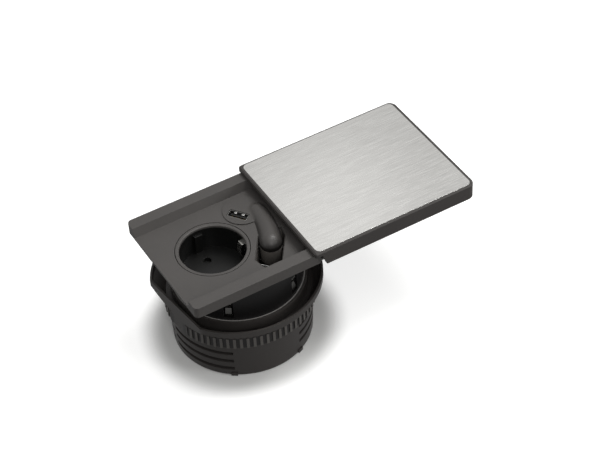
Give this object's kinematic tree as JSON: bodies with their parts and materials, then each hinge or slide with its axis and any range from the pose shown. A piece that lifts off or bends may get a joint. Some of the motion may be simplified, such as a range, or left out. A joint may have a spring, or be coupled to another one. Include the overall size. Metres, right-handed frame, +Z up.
{
  "type": "desk grommet",
  "caption": "Round desk grommet with a sliding metal-topped lid over an earthed socket, a USB port and a hooded cable outlet, held under the desk by a screwed ring and a vented pot.",
  "frame": {"origin": "axis of the round neck at the height of the desk top, which is the tray's underside", "axes": "+X is the way the lid slides open, +Y is the back, away from the user, +Z is up out of the desk"},
  "size_m": [0.1896, 0.1024, 0.0813],
  "materials": {
    "tray_plastic": "fine satin moulding, warm dark grey",
    "lid_plastic": "satin moulding, warm dark grey",
    "ring_plastic": "satin moulding, warm dark grey",
    "pot_plastic": "satin moulding, warm dark grey",
    "black_plastic": "satin black moulding",
    "lid_aluminium": "straight brushed along the slide",
    "spring_steel": "rolled spring strip",
    "contact_brass": "plain",
    "screw_steel": "zinc plated",
    "port_steel": "bright plated",
    "board": "green lacquer"
  },
  "bodies": {
    "housing": {"upper_housing": "tray_plastic", "guide_shoe_front": "black_plastic", "guide_shoe_back": "black_plastic", "shoe_screws": "screw_steel", "socket_bezel": "tray_plastic", "socket_well": "black_plastic", "earth_clip_left": "spring_steel", "earth_clip_right": "spring_steel", "socket_base": "black_plastic", "socket_screws": "screw_steel", "line_contact_front": "contact_brass", "line_contact_back": "contact_brass", "terminal_block": "black_plastic", "terminal_screws": "screw_steel", "usb_shell": "port_steel", "usb_tongue": "black_plastic", "usb_contacts": "contact_brass", "usb_circuit_board": "board", "usb_converter": "black_plastic", "outlet_hood": "tray_plastic", "outlet_chute": "tray_plastic", "flap_pins": "spring_steel", "detent_spring_1": "spring_steel", "detent_spring_2": "spring_steel", "detent_spring_3": "spring_steel", "detent_spring_4": "spring_steel"},
    "lid": {"lid_frame": "lid_plastic", "lid_plate": "lid_aluminium", "lid_rail_front": "black_plastic", "lid_rail_back": "black_plastic"},
    "shutter": {"contact_shutter": "black_plastic"},
    "flap": {"outlet_flap": "tray_plastic"},
    "pot": {"pot": "pot_plastic", "bottom_cover": "pot_plastic", "cover_screws": "screw_steel", "cord_clamp": "black_plastic", "clamp_screws": "screw_steel"},
    "ring": {"clamping_ring": "ring_plastic"}
  },
  "joints": [
    {"name": "lid_slide", "type": "slide", "parent": "housing", "child": "lid", "axis": [1, 0, 0], "range_m": [-0.0844, 0]},
    {"name": "shutter_slide", "type": "slide", "parent": "housing", "child": "shutter", "axis": [1, 0, 0], "range_m": [0, 0.0066], "stiffness_N_per_m": 60, "springref_m": -0.002},
    {"name": "flap_hinge", "type": "hinge", "parent": "housing", "child": "flap", "pos_m": [0.01629, -0.0143, -0.002], "axis": [0.8211, -0.5707, 0], "range_deg": [0, 60]},
    {"name": "pot_lift", "type": "slide", "parent": "housing", "child": "pot", "axis": [0, 0, 1], "range_m": [-0.012, 0.015]},
    {"name": "ring_spin", "type": "hinge", "parent": "pot", "child": "ring", "pos_m": [0, 0, -0.034], "axis": [0, 0, 1], "range_deg": [-961, 1201]}
  ],
  "couplings": [
    {"joint": "ring_spin", "follows": "pot_lift", "rad_per_m": 1396.3}
  ]
}
